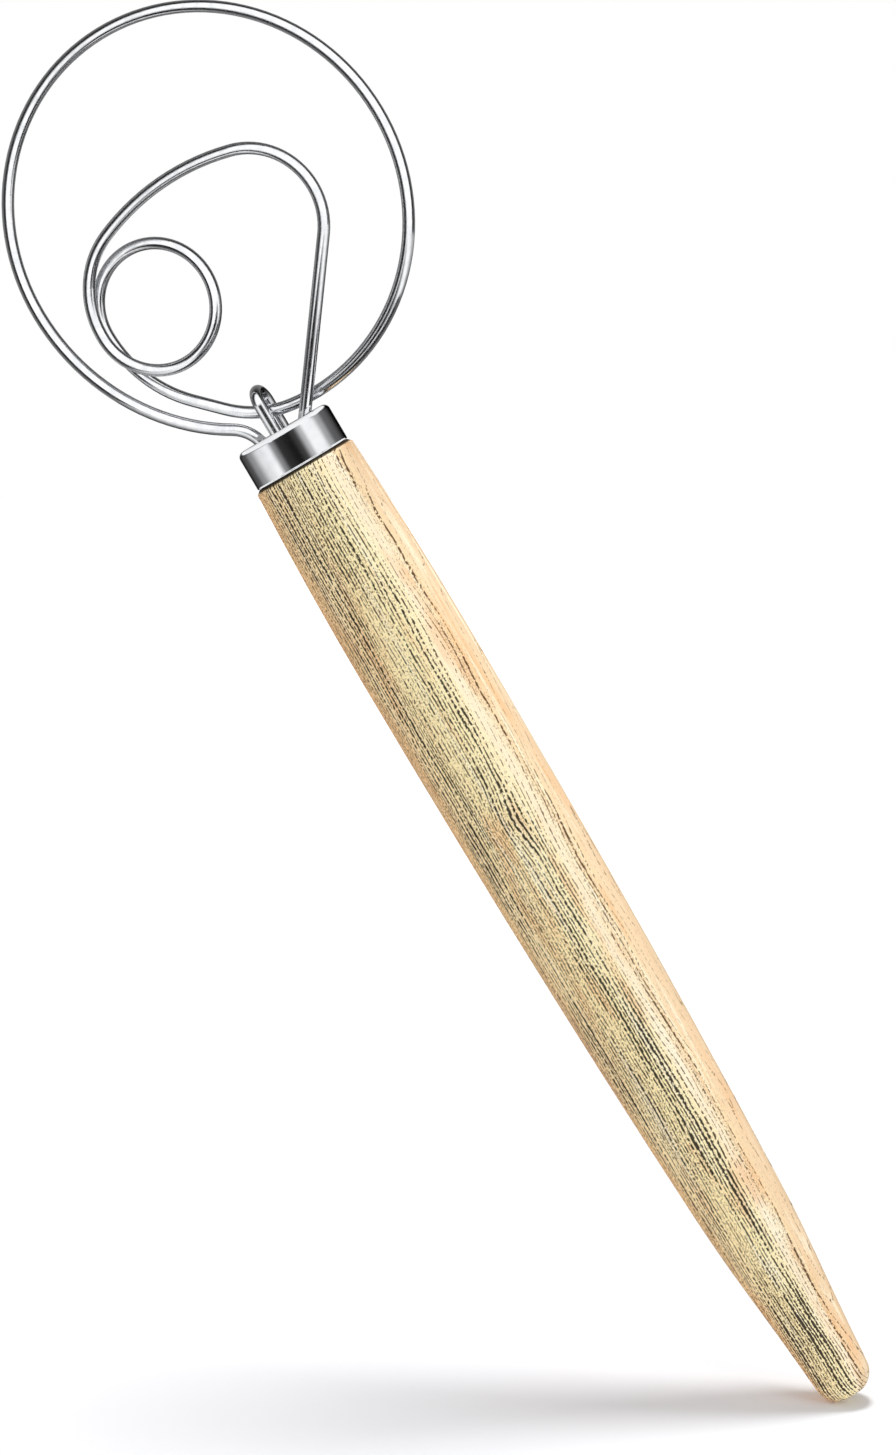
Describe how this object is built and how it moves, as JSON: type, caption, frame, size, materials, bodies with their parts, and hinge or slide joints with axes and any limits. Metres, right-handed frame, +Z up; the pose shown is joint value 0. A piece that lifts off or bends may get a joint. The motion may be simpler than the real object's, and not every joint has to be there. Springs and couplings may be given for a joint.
{
  "type": "dough whisk",
  "caption": "Hand dough whisk: a turned wooden handle, a short steel ferrule and one stainless wire bent into an open ring with a teardrop and an eye inside.",
  "frame": {"origin": "centre of the handle's flat butt end", "axes": "The whisk lies flat. +X runs along the handle's axis from the butt to the wire head, +Y is to the left of someone who looks along +X, and +Z is up, square to the plane of the loops."},
  "size_m": [0.3435, 0.0942, 0.0264],
  "materials": {
    "wood": "pale open-grained hardwood, turned and oiled, satin",
    "ferrule_steel": "drawn stainless steel, polished",
    "wire_steel": "stainless steel wire, bright",
    "resin": "cast epoxy, amber"
  },
  "bodies": {
    "root": {"handle": "wood", "ferrule": "ferrule_steel", "whisk_wire": "wire_steel", "retaining_hook": "wire_steel", "epoxy_plug": "resin"}
  },
  "joints": []
}
